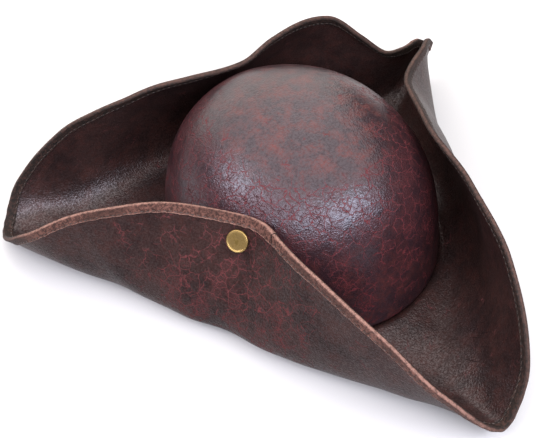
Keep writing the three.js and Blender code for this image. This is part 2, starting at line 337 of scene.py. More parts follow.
def brim_surface(angle, distance, offset):
    """A point at an offset from the middle of the rippled brim, in the row frame."""
    angle, distance, offset = np.broadcast_arrays(angle, distance, offset)
    angle = angle.astype(float)
    inside = np.minimum(distance, LEATHER_EDGE).astype(float)
    beyond = distance - inside
    normal = np.where((distance <= 0)[..., None], [0.0, 0.0, 1.0], formed_normal(angle, inside))
    ripple = ripple_height(angle, inside, bpy.context.scene.tricorn.brim)
    onward = formed_brim(angle, inside) - formed_brim(angle, inside - 0.5 * MM)
    onward = onward / np.linalg.norm(onward, axis=-1, keepdims=True)
    point = formed_brim(angle, inside) + normal * (offset + ripple)[..., None]
    return point + onward * beyond[..., None] + SEAM_CENTRE


# Meshes and pieces


def grid_mesh(name, points, uv, loop_around=False, loop_across=False):
    """A mesh from rows of points, with the given UVs, that may close either way."""
    rows, columns = points.shape[:2]
    row = np.arange(rows if loop_around else rows - 1)
    column = np.arange(columns if loop_across else columns - 1)
    row, column = (a.ravel() for a in np.meshgrid(row, column, indexing="ij"))
    corner_row = np.stack([row, row, row + 1, row + 1], axis=1)
    corner_column = np.stack([column, column + 1, column + 1, column], axis=1)
    quads = corner_row % rows * columns + corner_column % columns
    mesh = bpy.data.meshes.new(name)
    mesh.from_pydata(points.reshape(-1, 3).tolist(), [], quads.tolist())
    layer = mesh.uv_layers.new(name="UVMap")
    corners = np.stack([uv[0][corner_row], uv[1][corner_column]], axis=-1)
    layer.data.foreach_set("uv", corners.ravel())
    weld(mesh)
    mesh.shade_smooth()
    return mesh


def closed_mesh(name, points):
    """A closed mesh from sections all the way round, whose UVs go from 0 to 1 each way."""
    u, v = (np.linspace(0, 1, count + 1) for count in points.shape[:2])
    return grid_mesh(name, points, (u, v), loop_around=True, loop_across=True)


def weld(mesh, more_faces=()):
    """Adds faces between vertices of a mesh, and joins the vertices that lie on each other."""
    work = bmesh.new()
    work.from_mesh(mesh)
    work.verts.ensure_lookup_table()
    for face in more_faces:
        work.faces.new([work.verts[i] for i in face])
    bmesh.ops.remove_doubles(work, verts=work.verts, dist=0.001 * MM)
    bmesh.ops.recalc_face_normals(work, faces=work.faces)
    work.to_mesh(mesh)
    work.free()


def add_piece(name, mesh, material, slot, *nodes):
    """Puts a mesh in the scene as a piece that stands for CAD nodes."""
    piece = bpy.data.objects.new(name, mesh)
    bpy.context.collection.objects.link(piece)
    mesh.materials.append(material)
    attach(piece, "root")
    if nodes:
        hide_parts(*nodes)


# Materials


def add_node(tree, kind, inputs=None, **settings):
    """Adds a node, gives it its settings, and sets its inputs.

    The kind is what follows ShaderNode in Blender's name for it. An input is a value, an output
    of another node, or another node for its first output.
    """
    node = tree.nodes.new("ShaderNode" + kind)
    for name, value in settings.items():
        setattr(node, name, value)
    for name, value in (inputs or {}).items():
        if isinstance(value, bpy.types.Node):
            value = value.outputs[0]
        if isinstance(value, bpy.types.NodeSocket):
            tree.links.new(value, node.inputs[name])
        else:
            node.inputs[name].default_value = value
    return node


def new_material(name):
    """An empty node material and its tree."""
    material = bpy.data.materials.new(name)
    material.use_nodes = True
    material.node_tree.nodes.clear()
    return material, material.node_tree


def per_metre(size_mm):
    """Texture scale whose cells are a real size in millimetres."""
    return 1000 / size_mm


def rgba(rgb):
    """A colour property as a node's colour value."""
    return (*rgb, 1.0)


def distressed_leather(name, settings, strained, polished, creases=None):
    """Coated split leather, crumpled in a drum and rubbed.

    To the eye it is a smooth grey-mauve coat with a soft sheen. Where the leather was strained,
    hair cracks break the coat: they look dark in its sheen and red in the shade, and where the
    strain is highest the finest are painted dark as well, which is painted shade. Soft red clouds
    show where the coat is rubbed thin.
    """
    material, tree = new_material(name)
    place = add_node(tree, "TexCoord").outputs["Object"]
    strain = strained(tree, place)

    # Cracks wander a little: the place where they are looked up is pushed about by noise
    drift = add_node(
        tree, "TexNoise",
        {"Vector": place, "Scale": per_metre(6), "Detail": 3.0, "Roughness": 0.6})
    drift = add_node(
        tree, "VectorMath", {0: drift.outputs["Color"], 1: (0.5, 0.5, 0.5)}, operation="SUBTRACT")
    wandering = add_node(
        tree, "VectorMath", {0: drift, 1: (5 * MM, 5 * MM, 5 * MM), 2: place},
        operation="MULTIPLY_ADD")

    # Wide blotches of tone, red clouds, clusters of cracks, speckle as fine as the grain, and the
    # soft crumple of a drummed skin: where each is looked up, its size in mm, detail, roughness
    blotches, clouds, clusters, speckle, crumple = (
        add_node(
            tree, "TexNoise",
            {"Vector": vector, "Scale": per_metre(size_mm), "Detail": detail, "Roughness": rough})
        for vector, size_mm, detail, rough in (
            (place, 38, 4.0, 0.62),
            (wandering, 9, 6.0, 0.70),
            (wandering, 12, 4.0, 0.65),
            (place, 1.7, 2.0, 0.8),
            (place, 6, 2.0, 0.6),
        ))

    # Strained leather cracks over more of its area
    clusters = add_node(tree, "Math", {0: strain, 1: 0.25, 2: clusters}, operation="MULTIPLY_ADD")

    def crack_net(size_mm, half_width_mm, first, full):
        """Thin cracks along the borders of a crazed coat's cells, and how far they reach."""
        cells = add_node(
            tree, "TexVoronoi", {"Vector": wandering, "Scale": per_metre(size_mm)},
            feature="DISTANCE_TO_EDGE")
        lines = add_node(
            tree, "MapRange",
            {"Value": cells, "From Max": half_width_mm / size_mm, "To Min": 1.0, "To Max": 0.0},
            interpolation_type="SMOOTHSTEP")
        reach = add_node(
            tree, "MapRange", {"Value": clusters, "From Min": first, "From Max": full})
        return add_node(tree, "Math", {0: lines, 1: reach}, operation="MULTIPLY"), reach

    wide, _ = crack_net(8.0, 0.36, 0.62, 0.74)
    fine, fine_reach = crack_net(3.8, 0.25, 0.70, 0.84)

    # Red shows in the clouds, in a haze round the densest cracks, and in the cracks themselves
    cloudy = add_node(
        tree, "MapRange",
        {"Value": clouds, "From Min": 0.44, "From Max": 0.70, "To Max": settings.clouding})
    smooth = add_node(tree, "MapRange", {"Value": strain, "To Min": 1.0, "To Max": 0.25})
    cloudy = add_node(tree, "Math", {0: cloudy, 1: smooth}, operation="MULTIPLY")
    haze = add_node(tree, "Math", {0: fine_reach, 1: 0.22}, operation="MULTIPLY")
    grit = add_node(
        tree, "MapRange", {"Value": speckle, "From Min": 0.32, "From Max": 0.60, "To Min": 0.35})
    cloudy = add_node(tree, "Math", {0: cloudy, 1: grit}, operation="MULTIPLY")
    haze = add_node(tree, "Math", {0: haze, 1: grit}, operation="MULTIPLY")
    cracks = add_node(tree, "Math", {0: wide, 1: fine}, operation="MAXIMUM")
    cracks = add_node(tree, "Math", {0: haze, 1: cracks}, operation="MAXIMUM")
    # Painted shade: where the strain is highest, round the crown's shoulder and in the middle of
    # the left flap, the finest cracks are painted dark
    crack_shade = add_node(
        tree, "MapRange",
        {"Value": strain, "From Min": 0.75, "From Max": 1.0, "To Max": settings.dark_cracks})
    dark = add_node(tree, "Math", {0: fine, 1: crack_shade}, operation="MULTIPLY")
    shade = add_node(
        tree, "MapRange",
        {"Value": blotches, "From Min": 0.40, "From Max": 0.66, "To Max": settings.blotching},
        interpolation_type="SMOOTHSTEP")
    pits = add_node(
        tree, "MapRange", {"Value": speckle, "From Min": 0.36, "From Max": 0.70, "To Max": 0.45})
    layers = [
        (shade, settings.depths_and_crack_shade), (pits, settings.depths_and_crack_shade), (cloudy, settings.clouds),
        (cracks, settings.cracks), (dark, settings.depths_and_crack_shade)]
    opened = add_node(tree, "Math", {0: cloudy, 1: 0.4, 2: cracks}, operation="MULTIPLY_ADD")
    if creases:
        lines = creases(tree, place)
        layers.append((lines, settings.depths_and_crack_shade))
        opened = add_node(tree, "Math", {0: opened, 1: lines}, operation="MAXIMUM")
    surface = rgba(settings.coat)
    for share, over in layers:
        inputs = {0: share, 6: surface, 7: rgba(over)}
        surface = add_node(tree, "Mix", inputs, data_type="RGBA").outputs[2]

    # Pebble grain 1 mm across, with the crumple, the speckle and the open cracks
    height = add_node(
        tree, "TexVoronoi", {"Vector": place, "Scale": per_metre(1.0)}, feature="SMOOTH_F1")
    for layer, depth in ((crumple, 1.2), (speckle, 0.9), (opened, 0.35)):
        height = add_node(tree, "Math", {0: layer, 1: depth, 2: height}, operation="MULTIPLY_ADD")
    relief = add_node(
        tree, "Bump", {"Height": height, "Strength": 0.8, "Distance": settings.grain}, invert=True)
    gloss = add_node(
        tree, "MapRange",
        {"Value": opened, "To Min": settings.roughness, "To Max": settings.roughness + 0.30})
    # Open fibres in the cracks and the pits have almost no sheen
    sheen = add_node(tree, "MapRange", {"Value": opened, "To Min": 0.70, "To Max": 0.08})
    pitted = add_node(
        tree, "MapRange",
        {"Value": speckle, "From Min": 0.42, "From Max": 0.66, "To Min": 1.0, "To Max": 0.6})
    for dulled in (pitted, polished(tree, place)):
        sheen = add_node(tree, "Math", {0: sheen, 1: dulled}, operation="MULTIPLY")
    shader = add_node(
        tree, "BsdfPrincipled",
        {"Base Color": surface, "Normal": relief, "IOR": 1.5, "Roughness": gloss,
         "Specular IOR Level": sheen, "Specular Tint": rgba(settings.sheen)})
    add_node(tree, "OutputMaterial", {"Surface": shader})
    return material


def along_and_across(tree):
    """Place along and across a piece's own sheet of mesh."""
    uv = add_node(tree, "UVMap", uv_map="UVMap")
    return add_node(tree, "SeparateXYZ", {0: uv}).outputs[:2]


def around(tree, place, centre, near_mm, far_mm, at_near, at_far):
    """A value that goes from one to another between two distances from a point."""
    away = add_node(tree, "VectorMath", {0: place, 1: Vector(centre)}, operation="DISTANCE")
    return add_node(
        tree, "MapRange",
        {"Value": away.outputs["Value"], "From Min": near_mm * MM, "From Max": far_mm * MM,
         "To Min": at_near, "To Max": at_far},
        interpolation_type="SMOOTHSTEP")


def down_the_crown(tree, place, low_mm, high_mm, at_low, at_high):
    """A value that goes from one to another between two depths below the crown's top."""
    height = add_node(tree, "SeparateXYZ", {0: place}).outputs["Z"]
    top = float(SEAM_CENTRE[2] + CROWN_HEIGHT)
    return add_node(
        tree, "MapRange",
        {"Value": height, "From Min": top - low_mm * MM, "From Max": top - high_mm * MM,
         "To Min": at_low, "To Max": at_high},
        interpolation_type="SMOOTHSTEP")


def strained_shoulder(tree, place):
    """Strain of the crown: high round its shoulder, less on its sides, and little on top."""
    flat_top = down_the_crown(tree, place, 20, 6, 1.0, 0.1)
    side = down_the_crown(tree, place, 70, 28, 0.7, 1.1)
    return add_node(tree, "Math", {0: flat_top, 1: side}, operation="MULTIPLY")


def polished_shoulder(tree, place):
    """Sheen of the crown: full on top and on its shoulder, where hands polish it, less below."""
    return down_the_crown(tree, place, 65, 32, 0.3, 1.0)


def strained_flap(tree, place):
    """Strain of the brim: high in the middle of the left flap, where it is pulled to the crown."""
    return around(tree, place, SEAM_CENTRE + LEFT_FLAP_MIDDLE, 35, 105, 1.0, 0.18)


def polished_upper_face(tree, place):
    """Sheen of the brim's faces: full towards the crown, and dull on the underside.

    The tops of the pebbles glint, and the rest of the grain doesn't.
    """
    _, across = along_and_across(tree)
    face = add_node(
        tree, "MapRange",
        {"Value": across, "From Min": 0.49, "From Max": 0.51, "To Min": 0.88, "To Max": 0.23})
    pebble_tops = add_node(
        tree, "TexNoise",
        {"Vector": place, "Scale": per_metre(1.2), "Detail": 1.0, "Roughness": 0.7})
    glints = add_node(
        tree, "MapRange",
        {"Value": pebble_tops, "From Min": 0.42, "From Max": 0.58, "To Min": 0.6, "To Max": 1.4})
    return add_node(tree, "Math", {0: face, 1: glints}, operation="MULTIPLY")


def trough_creases(tree, place):
    """Dark hair creases that run along the trough behind the front tip."""
    centre = Vector(SEAM_CENTRE + CREASE_CENTRE)
    moved = add_node(tree, "VectorMath", {0: place, 1: centre}, operation="SUBTRACT")
    turned = add_node(
        tree, "VectorRotate", {"Vector": moved, "Angle": math.radians(-17)},
        rotation_type="Z_AXIS")
    # 1.3 mm from crease to crease, and about 26 mm long
    stretched = add_node(
        tree, "VectorMath", {0: turned, 1: (per_metre(1.3), per_metre(26), per_metre(26))},
        operation="MULTIPLY")
    streaks = add_node(tree, "TexNoise", {"Vector": stretched, "Scale": 1.0, "Detail": 1.0})
    lines = add_node(
        tree, "MapRange", {"Value": streaks, "From Min": 0.66, "From Max": 0.72, "To Max": 0.85},
        interpolation_type="SMOOTHSTEP")
    near = around(tree, place, centre, 14, 32, 1.0, 0.0)
    return add_node(tree, "Math", {0: lines, 1: near}, operation="MULTIPLY")


def worn_binding(name, settings, length_along):
    """Split leather tape, folded and stitched.

    The left flap's edge is worn most: there the outer side is a mottled orange-brown with
    thin pale lines along the fold and the border. Everywhere else the tape is a dark, dull brown
    darkened with painted shade, and its side towards the crown is painted shade.
    """
    material, tree = new_material(name)
    place = add_node(tree, "TexCoord").outputs["Object"]
    along, across = along_and_across(tree)
    mottle = add_node(
        tree, "TexNoise",
        {"Vector": place, "Scale": per_metre(2.2), "Detail": 5.0, "Roughness": 0.85})
    stains = add_node(tree, "TexNoise", {"Vector": place, "Scale": per_metre(26), "Detail": 3.0})
    # The lap is in the middle of the left flap. Wear fades with the distance from it,
    # and where it fades the outer side takes the painted shade colour.
    from_lap = add_node(tree, "Math", {0: along, 1: length_along / 2}, operation="PINGPONG")
    wear_and_shade = add_node(
        tree, "MapRange",
        {"Value": from_lap, "From Min": 150 * MM, "From Max": 215 * MM, "To Min": 1.0,
         "To Max": 0.2},
        interpolation_type="SMOOTHSTEP")
    tip = brim_surface(BACK_RIGHT_TIP, LEATHER_EDGE, 0.0)
    at_tip = around(tree, place, tip, 20, 75, 0.5, 0.0)
    wear_and_shade = add_node(tree, "Math", {0: wear_and_shade, 1: at_tip}, operation="MAXIMUM")

    patchy = add_node(tree, "MapRange", {"Value": mottle, "From Min": 0.45, "From Max": 0.56})
    stained = add_node(
        tree, "MapRange",
        {"Value": stains, "From Min": 0.45, "From Max": 0.66, "To Min": 1.0, "To Max": 0.35},
        interpolation_type="SMOOTHSTEP")
    for held_back in (stained, wear_and_shade):
        patchy = add_node(tree, "Math", {0: patchy, 1: held_back}, operation="MULTIPLY")
    painted_shade = rgba(settings.painted_shade)
    rubbed = rgba(settings.rubbed)
    # Painted shade: where wear fades, the outer side darkens from the middle brown towards the
    # painted shade colour
    outer = painted_shade
    for share, over in ((wear_and_shade, rgba(settings.middle)), (patchy, rubbed)):
        inputs = {0: share, 6: outer, 7: over}
        outer = add_node(tree, "Mix", inputs, data_type="RGBA").outputs[2]
    flecks = add_node(
        tree, "MapRange", {"Value": mottle, "From Min": 0.47, "From Max": 0.62, "To Max": 0.3})
    side = add_node(tree, "MapRange", {"Value": across, "From Min": 0.44, "From Max": 0.50})

    # Thin worn lines: over the fold, and at the border on each side
    from_fold = add_node(tree, "Math", {0: across, 1: 0.53}, operation="SUBTRACT")
    from_fold = add_node(tree, "Math", {0: from_fold}, operation="ABSOLUTE")
    fold = add_node(
        tree, "MapRange",
        {"Value": from_fold, "From Min": 0.02, "From Max": 0.08, "To Min": 0.8, "To Max": 0.0},
        interpolation_type="SMOOTHSTEP")
    border = add_node(
        tree, "MapRange", {"Value": across, "From Min": 0.92, "From Max": 0.955, "To Max": 0.9},
        interpolation_type="SMOOTHSTEP")
    worn = add_node(tree, "Math", {0: fold, 1: border}, operation="MAXIMUM")
    ragged = add_node(
        tree, "MapRange", {"Value": mottle, "From Min": 0.34, "From Max": 0.54, "To Min": 0.15})
    for held_back in (wear_and_shade, ragged):
        worn = add_node(tree, "Math", {0: worn, 1: held_back}, operation="MULTIPLY")
    # Painted shade: the side towards the crown starts from the painted shade colour, flecked with
    # rubbed brown
    surface = painted_shade
    for share, over in ((flecks, rubbed), (side, outer), (worn, rgba(settings.worn))):
        inputs = {0: share, 6: surface, 7: over}
        surface = add_node(tree, "Mix", inputs, data_type="RGBA").outputs[2]
    relief = add_node(tree, "Bump", {"Height": mottle, "Strength": 0.8, "Distance": 0.5 * MM})
    shader = add_node(
        tree, "BsdfPrincipled",
        {"Base Color": surface, "Roughness": 0.75, "Normal": relief, "IOR": 1.5,
         "Specular IOR Level": 0.25})
    add_node(tree, "OutputMaterial", {"Surface": shader})
    return material


def waxed_thread(name, thread):
    """Waxed linen thread, laid and pulled tight: round and matt, a little paler than the tape."""
    material, tree = new_material(name)
    shader = add_node(
        tree, "BsdfPrincipled",
        {"Base Color": rgba(thread), "Roughness": 0.6, "IOR": 1.5, "Sheen Weight": 0.2})
    add_node(tree, "OutputMaterial", {"Surface": shader})
    return material


def antique_brass(name, settings):
    """Stamped brass, tarnished and rubbed: a satin cap with a bright rim and brown patches."""
    material, tree = new_material(name)
    place = add_node(tree, "TexCoord").outputs["Object"]
    _, across = along_and_across(tree)
    patches = add_node(
        tree, "TexNoise",
        {"Vector": place, "Scale": per_metre(3.5), "Detail": 4.0, "Roughness": 0.7})
    in_dish = add_node(
        tree, "MapRange",
        {"Value": across, "From Min": 0.62, "From Max": 0.78, "To Min": 0.75, "To Max": 0.1},
        interpolation_type="SMOOTHSTEP")
    tarnish = add_node(
        tree, "MapRange", {"Value": patches, "From Min": 0.38, "From Max": 0.68},
        interpolation_type="SMOOTHSTEP")
    tarnish = add_node(tree, "Math", {0: tarnish, 1: in_dish}, operation="MULTIPLY")
    surface = add_node(
        tree, "Mix", {0: tarnish, 6: rgba(settings.brass), 7: rgba(settings.patina)},
        data_type="RGBA")
    relief = add_node(tree, "Bump", {"Height": patches, "Strength": 0.3, "Distance": 0.2 * MM})
    gloss = add_node(
        tree, "MapRange", {"Value": tarnish, "From Max": 0.7, "To Min": 0.40, "To Max": 0.60})
    shader = add_node(
        tree, "BsdfPrincipled",
        {"Base Color": surface.outputs[2], "Metallic": 1.0, "Normal": relief, "Roughness": gloss})
    add_node(tree, "OutputMaterial", {"Surface": shader})
    return material


def studio_floor(name, floor):
    """Matt white paper, which glows a little far from the hat as if more lamps lit it there."""
    material, tree = new_material(name)
    place = add_node(tree, "TexCoord").outputs["Object"]
    glow = around(tree, place, (0, 0, 0), 450, 1800, 0.0, 0.6)
    shader = add_node(
        tree, "BsdfPrincipled",
        {"Base Color": rgba(floor), "Roughness": 0.9, "Emission Color": (1, 1, 1, 1),
         "Emission Strength": glow})
    add_node(tree, "OutputMaterial", {"Surface": shader})
    return material


# One operator for each piece


class TRICORN_OT_crown(bpy.types.Operator):
    """Adds the domed crown, a hollow shell of leather with soft dents"""

    bl_idname = "tricorn.crown"
    bl_label = "Crown"
    stations = 256
    steps = 88

    def execute(self, context):
        settings = context.scene.tricorn.crown
        angle = np.linspace(0, 360, self.stations, endpoint=False)
        # Steps lie close together at the foot, where the leather turns in
        share = np.linspace(0, 1, self.steps + 1) ** 1.35
        outside = self.face(angle, share, 0.0, settings)
        inside = self.face(angle, share[::-1], CROWN_WALL, settings)
        points = np.concatenate([outside, inside], axis=1)
        mesh = closed_mesh("crown_leather", points)
        leather = distressed_leather(
            "Distressed coated leather, crown", settings, strained_shoulder, polished_shoulder)
        add_piece("crown_leather", mesh, leather, "crown_leather", "crown")
        return {"FINISHED"}

    @staticmethod
    def face(angle, share, depth, settings):
        """One face of the dome, at a depth inside its outer face."""
        angle, share = np.meshgrid(angle, share, indexing="ij")
        turn = np.radians(angle)
        t = share * math.pi / 2
        spread = np.where(share >= 1, 0.0, np.abs(np.cos(t)) ** (2 / CROWN_SIDE_POWER))
        lift = np.sin(t) ** (2 / CROWN_TOP_POWER)
        foot = BRIM_WALL / 2 + FOOT_GAP
        z = foot + lift * (CROWN_HEIGHT - foot - depth)
        radius = settings.foot_roll
        low = np.clip(1 - (z - foot) / radius, 0, 1)
        roll = radius * (1 - np.sqrt(1 - low ** 2)) * 0.8
        x = (spread * (CROWN_SIZE.x / 2 - depth) - roll) * np.cos(turn)
        y = (spread * (CROWN_SIZE.y / 2 - depth) - roll) * np.sin(turn)
        dents = (np.sin(x / MM / 21 + 1.7 * np.sin(y / MM / 31) + 0.4)
                 + np.sin(y / MM / 18 + z / MM / 26 + 2.0) + 0.5 * np.sin((x + z) / MM / 11))
        fade = np.clip((z - foot) / DENTS_GROW, 0, 1) ** 1.5
        # The dents only go inwards, so that the crown keeps its outline
        push = settings.dent * fade * (dents / 2.5 - 1) * 0.5
        point = np.stack([x, y, z], axis=-1)
        direction = point - [0, 0, CROWN_HEIGHT * 0.4]
        direction /= np.linalg.norm(direction, axis=-1, keepdims=True)
        return point + direction * push[..., None] + SEAM_CENTRE


class TRICORN_OT_brim(bpy.types.Operator):
    """Adds the brim, one sheet of leather folded up into three flaps"""

    bl_idname = "tricorn.brim"
    bl_label = "Brim"
    stations = 720
    steps = 44

    def execute(self, context):
        settings = context.scene.tricorn.brim
        angle = np.linspace(0, 360, self.stations, endpoint=False)[:, None]
        distance = np.linspace(0, LEATHER_EDGE, self.steps + 1)[None, :]
        upper = brim_surface(angle, distance, BRIM_WALL / 2)
        lower = brim_surface(angle, distance, -BRIM_WALL / 2)
        rim = seam_point(angle, np.full_like(angle, -CROWN_WALL)) + SEAM_CENTRE
        wall = np.array([0, 0, BRIM_WALL / 2])
        points = np.concatenate([rim + wall, upper, lower[:, ::-1], rim - wall], axis=1)
        mesh = closed_mesh("brim_leather", points)
        leather = distressed_leather(
            "Distressed coated leather, brim", settings, strained_flap, polished_upper_face,
            trough_creases)
        add_piece("brim_leather", mesh, leather, "brim_leather", "brim")
        return {"FINISHED"}


# Section of the tape from one border to the nose
# along  place across the tape, from 0 at the border to 1 at the leather's edge
# lift   height above the tape's inner face, as a share of its thickness
TAPE_PROFILE = (
    (0.00, 0.10), (0.00, 0.62), (0.03, 0.92), (0.08, 1.02), (0.13, 0.98),  # cut border
    (0.17, 0.78), (0.21, 0.66), (0.25, 0.74),  # groove of the stitches
    (0.32, 0.86), (0.50, 0.92), (0.70, 0.94), (0.88, 0.98), (1.00, 1.00),
)
# The stitches lie on the bottom of the groove
STITCH_ROW, STITCH_LIFT = TAPE_PROFILE[6]
THREAD_RADIUS = 0.27 * MM
LAP_LIFT = 0.55 * MM
FOLD_HEIGHT = 0.22 * MM
# Seam angles of the three tips, where the tape gathers in small cross folds
TIP_ANGLES = (-90, BACK_RIGHT_TIP, 143)


class TRICORN_OT_tape(bpy.types.Operator):
    """Adds the tape folded over the brim's edge, with its two ends lapped, and its stitches"""

    bl_idname = "tricorn.tape"
    bl_label = "Edge tape"
    stations = 1100

    def execute(self, context):
        settings = context.scene.tricorn.tape
        length_along = self.edge_length()
        lap = 360 * settings.lap_length / length_along
        angle = np.linspace(settings.lap_angle, settings.lap_angle + 360 + lap, self.stations)
        # The second end rises before it lies over the first
        ramp = 1.2 * lap
        rising = np.clip((angle - settings.lap_angle - 360 + ramp) / ramp, 0, 1)
        lifted = LAP_LIFT * rising * rising * (3 - 2 * rising)
        points = self.section(angle, lifted)
        u = np.linspace(0, length_along, self.stations)
        v = self.section_share(points)
        mesh = grid_mesh("binding_tape", points, (u, v), loop_across=True)
        self.close_ends(mesh, points.shape[1])
        material = worn_binding("Worn split leather tape", settings, length_along)
        add_piece("binding_tape", mesh, material, "binding_tape", "edge_binding")
        self.add_stitches(settings, length_along)
        return {"FINISHED"}

    @staticmethod
    def edge_length():
        """Length of the brim's edge all the way round."""
        edge = brim_surface(np.linspace(0, 360, 1441), LEATHER_EDGE, 0.0)
        return float(np.linalg.norm(np.diff(edge, axis=0), axis=1).sum())

    @staticmethod
    def section(angle, lifted):
        """Closed sections of the tape at each angle, lifted off the leather by a height."""
        along, lift = np.array(TAPE_PROFILE).T
        turn = np.radians(np.linspace(90, -90, 9))[1:-1]
        nose_reach = (CLEARANCE + TAPE_THICKNESS) * 0.95
        # Cross folds about 3.5 mm apart gather the tape round each tip
        from_tip = np.min([np.abs((angle - tip + 180) % 360 - 180) for tip in TIP_ANGLES], axis=0)
        gather = np.exp(-((from_tip / 7) ** 2)) * np.maximum(np.sin(angle * 2.1), -0.3)
        lifted = lifted + FOLD_HEIGHT * gather
        # The border is cut and frayed a little unevenly
        fray = (0.16 * np.sin(angle * 2.9) + 0.12 * np.sin(angle * 7.7 + 1.0)
                + 0.09 * np.sin(angle * 17.3 + 2.0)) * MM
        a = angle[:, None]
        raised = lifted[:, None]
        at = TAPE_START + along * TAPE_WIDTH
        outer = TAPE_INNER + lift * TAPE_BODY + raised
        upper = brim_surface(a, at - (1 - along) * fray[:, None], outer)
        lower = brim_surface(a, at - (1 - along) * np.roll(fray, 97)[:, None], -outer)
        nose = brim_surface(
            a, LEATHER_EDGE + (nose_reach + raised) * np.cos(turn),
            (TAPE_INNER + TAPE_BODY + raised) * np.sin(turn))
        borders = np.array([[TAPE_START, LEATHER_EDGE]])
        back_lower = brim_surface(a, borders, -TAPE_INNER - raised)
        back_upper = brim_surface(a, borders[:, ::-1], TAPE_INNER + raised)
        return np.concatenate([upper, nose, lower[:, ::-1], back_lower, back_upper], axis=1)

    @staticmethod
    def section_share(points):
        """How far along the section each of its points is, from 0 to 1 over the outer face."""
        steps = np.linalg.norm(np.diff(points[0], axis=0), axis=1)
        outer = points.shape[1] - 4
        share = np.concatenate([[0], np.cumsum(steps)]) / steps[:outer - 1].sum()
        return np.concatenate([share, share[-1:] + 0.01])

    @staticmethod
    def close_ends(mesh, size):
        """Faces over the tape's two cut ends."""
        last = len(mesh.vertices) - size
        ends = [list(range(first, first + size)) for first in (0, last)]
        weld(mesh, ends)

    def add_stitches(self, settings, length_along):
        """Adds a row of stitches on each side, lying in the groove by the tape's border."""
        count = int(length_along / settings.stitch_pitch)
        fine = np.linspace(settings.lap_angle, settings.lap_angle + 360, 2881)
        edge = brim_surface(fine, TAPE_START + STITCH_ROW * TAPE_WIDTH, 0.0)
        run = np.concatenate([[0], np.cumsum(np.linalg.norm(np.diff(edge, axis=0), axis=1))])
        run *= length_along / run[-1]
        floor = TAPE_INNER + STITCH_LIFT * TAPE_BODY
        sides = 6
        rings = 6
        turn = np.radians(np.arange(sides) * 360 / sides)
        t = np.linspace(-1, 1, rings)
        # The thread bows up out of the groove and dives in at its two ends
        radius = THREAD_RADIUS * np.sqrt(np.clip(1 - t ** 4, 0.08, 1))
        bow = 0.10 * MM * (1 - 2.6 * t ** 2)
        # Faces of one stitch: round its side, and over its two ends
        stitch = []
        for first in range(0, (rings - 1) * sides, sides):
            for s in range(sides):
                a = first + s
                b = first + (s + 1) % sides
                stitch.append((a, b, b + sides, a + sides))
        stitch += [range(sides)[::-1], range((rings - 1) * sides, rings * sides)]
        vertices = []
        faces = []
        for side in (1, -1):
            for i in range(count):
                middle = (i + 0.5) * length_along / count
                at = middle + t * settings.stitch_length / 2
                angle = np.interp(at % length_along, run, fine)
                # Each stitch lies a little askew, as hand feed leaves it
                skew = 0.12 * MM * math.sin(i * 2.4) + 0.22 * MM * t
                row = TAPE_START + STITCH_ROW * TAPE_WIDTH + skew
                ring = brim_surface(
                    angle[:, None],
                    row[:, None] + radius[:, None] * np.cos(turn),
                    side * (floor + bow[:, None] + radius[:, None] * np.sin(turn)))
                base = len(vertices)
                vertices.extend(ring.reshape(-1, 3).tolist())
                faces.extend([base + corner for corner in face] for face in stitch)
        mesh = bpy.data.meshes.new("binding_stitches")
        mesh.from_pydata(vertices, [], faces)
        mesh.shade_smooth()
        thread = waxed_thread("Waxed linen thread", settings.thread)
        add_piece("binding_stitches", mesh, thread, "binding_tape")


# Half section of the rivet's cap, from its middle to its back
# radius  share of the cap's radius
# height  millimetres above the cap's back
RIVET_CAP = (
    (0.00, 1.98), (0.30, 1.99), (0.60, 2.02), (0.78, 2.06),  # flat middle
    (0.83, 2.16), (0.87, 2.34), (0.91, 2.40), (0.95, 2.28),  # raised rim
    (0.98, 1.90), (1.00, 1.35), (0.98, 0.70), (0.93, 0.00),  # side
)


class TRICORN_OT_rivet(bpy.types.Operator):
    """Adds the brass rivet, with its rimmed cap on the flap and its back inside the crown"""

    bl_idname = "tricorn.rivet"
    bl_label = "Rivet"

    def execute(self, context):
        settings = context.scene.tricorn.rivet
        centre = Vector(formed_brim(*RIVET_PLACE) + SEAM_CENTRE)
        axis = -Vector(formed_normal(*RIVET_PLACE))
        reach = [(v.co - centre).dot(axis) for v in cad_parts["rivet_stud"].data.vertices]
        bottom, top = min(reach), max(reach)
        cap_radius = settings.cap_diameter / 2
        cap_seat = top - max(height for _, height in RIVET_CAP) * MM
        section = [(radius * cap_radius, cap_seat + height * MM) for radius, height in RIVET_CAP]
        section += [
            (2.0 * MM, cap_seat), (2.0 * MM, bottom + 1.2 * MM), (4.8 * MM, bottom + 1.2 * MM),
            (5.0 * MM, bottom + 0.6 * MM), (4.6 * MM, bottom), (0.0, bottom),
        ]
        section = np.array(section)
        turn = np.linspace(0, 2 * math.pi, settings.sides, endpoint=False)[:, None]
        radius = section[None, :, 0]
        local = np.stack([
            radius * np.cos(turn), radius * np.sin(turn), section[None, :, 1] + 0 * turn,
        ], axis=-1)
        turned = np.array(axis.to_track_quat("Z", "Y").to_matrix())
        points = local @ turned.T + np.array(centre)
        u = np.arange(settings.sides + 1) / settings.sides
        v = np.concatenate([[row[0] for row in RIVET_CAP], np.full(len(section), 1.0)])
        mesh = grid_mesh("rivet_brass", points, (u, v), loop_around=True)
        material = antique_brass("Antique brass, stamped and rubbed", settings)
        add_piece("rivet_brass", mesh, material, "rivet_brass", "rivet_stud")
        return {"FINISHED"}


FLOOR_SIDE = 12.0
